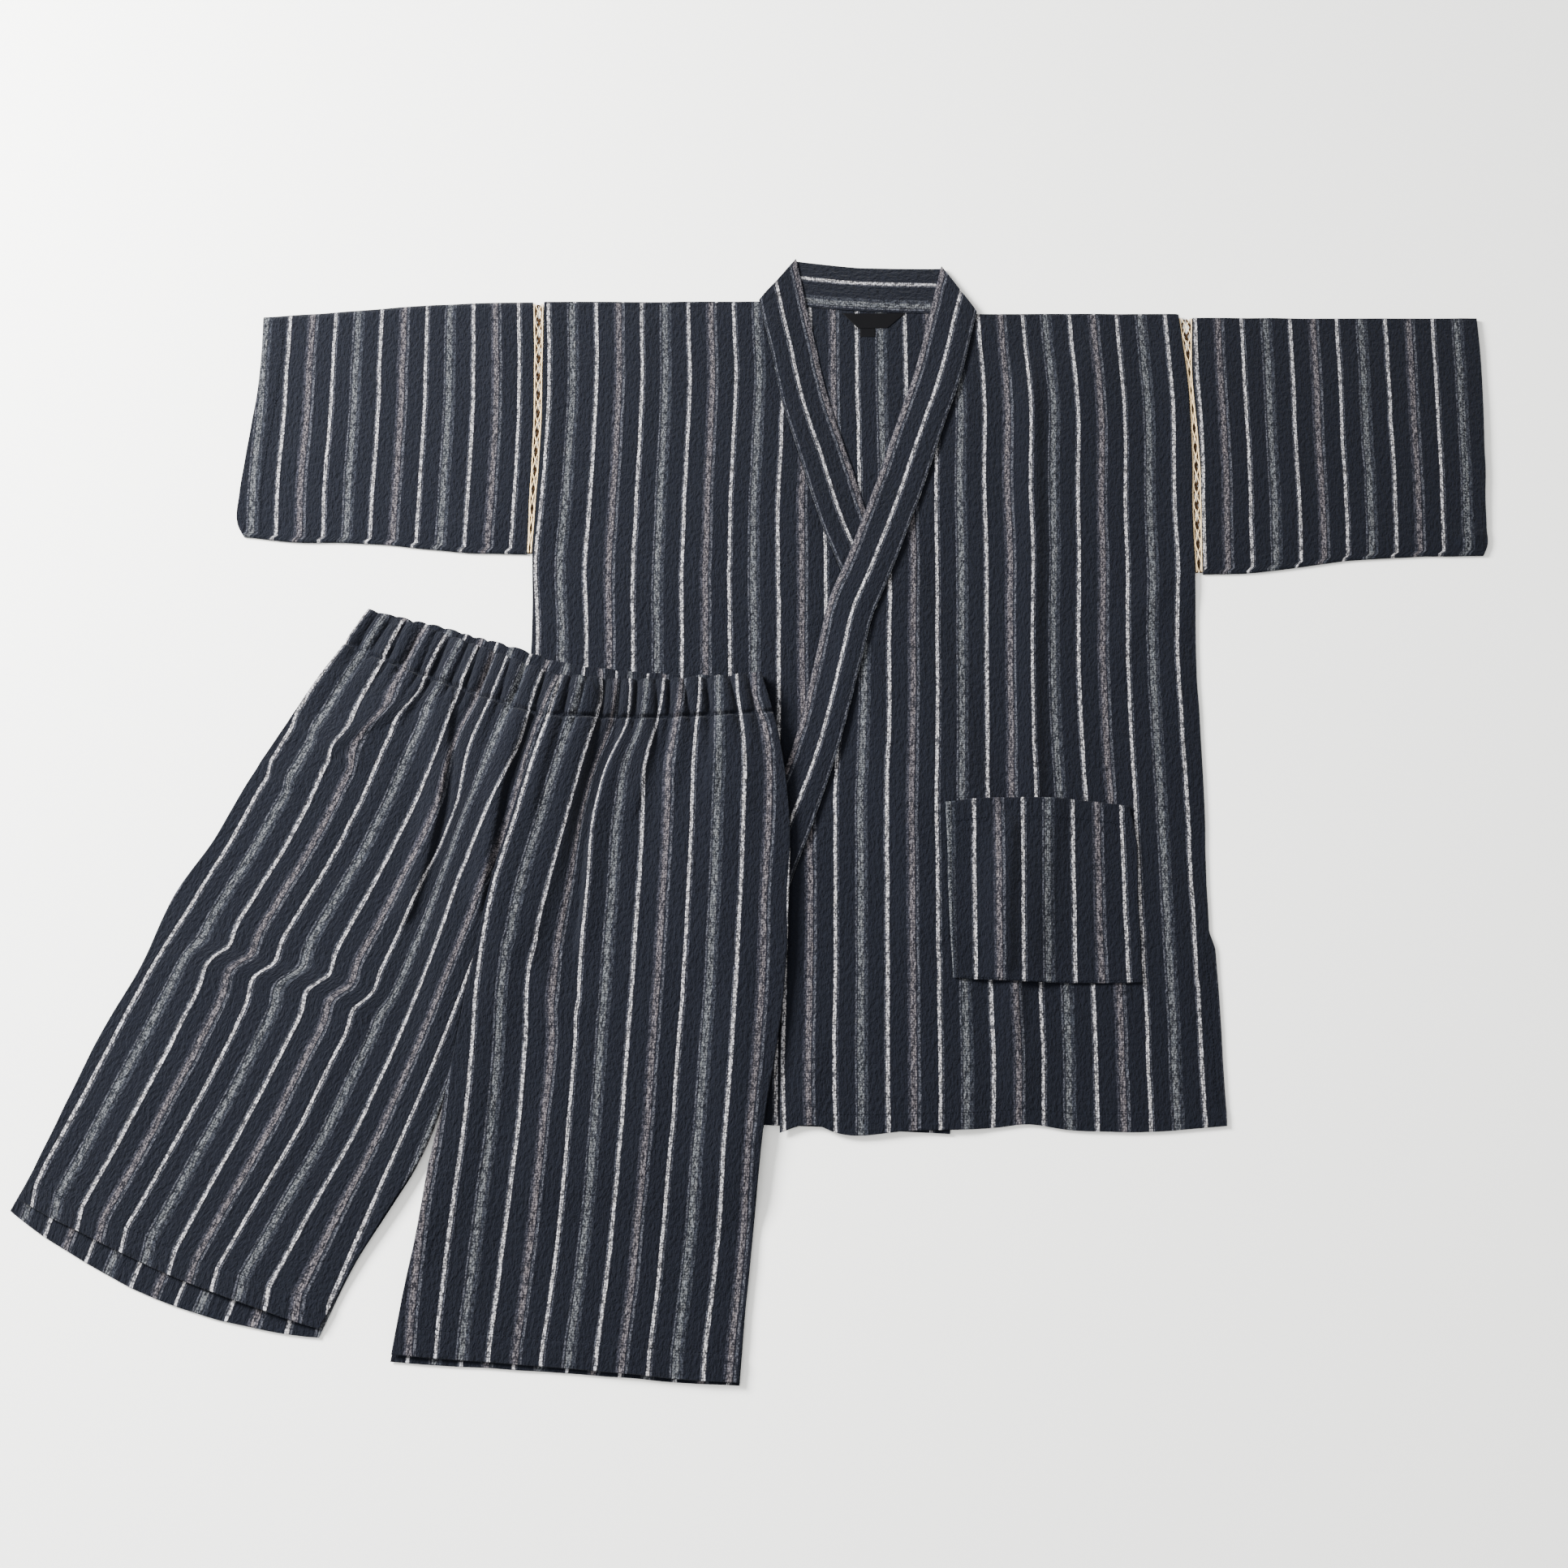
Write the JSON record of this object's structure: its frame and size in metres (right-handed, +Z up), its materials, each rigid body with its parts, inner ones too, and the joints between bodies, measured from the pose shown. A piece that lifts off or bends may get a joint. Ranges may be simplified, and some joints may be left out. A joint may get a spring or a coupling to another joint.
{
  "type": "jinbei set laid flat",
  "caption": "Striped jinbei laid flat: a wrap-front short-sleeved jacket with lace at the armholes and a patch pocket, and gathered shorts laid over its lower corner.",
  "frame": {"origin": "on the surface the set lies on, under the middle of its bounding box", "axes": "+X to the viewer's right as it lies, which is the wearer's left; +Y towards the collar; +Z up, away from the surface"},
  "size_m": [1.387, 1.111, 0.0144],
  "materials": {
    "striped_cloth": "navy cotton crepe with woven stripes, matt",
    "lace": "cream cotton ladder lace, matt",
    "label": "black woven label, plain"
  },
  "bodies": {
    "root": {"jacket_back": "striped_cloth", "jacket_front_right": "striped_cloth", "jacket_front_left": "striped_cloth", "collar": "striped_cloth", "sleeve_right": "striped_cloth", "sleeve_left": "striped_cloth", "lace_right_front": "lace", "lace_right_back": "lace", "lace_left_front": "lace", "lace_left_back": "lace", "pocket": "striped_cloth", "neck_label": "label", "size_tag": "label", "shorts_right_front": "striped_cloth", "shorts_right_back": "striped_cloth", "shorts_left_front": "striped_cloth", "shorts_left_back": "striped_cloth"}
  },
  "joints": []
}
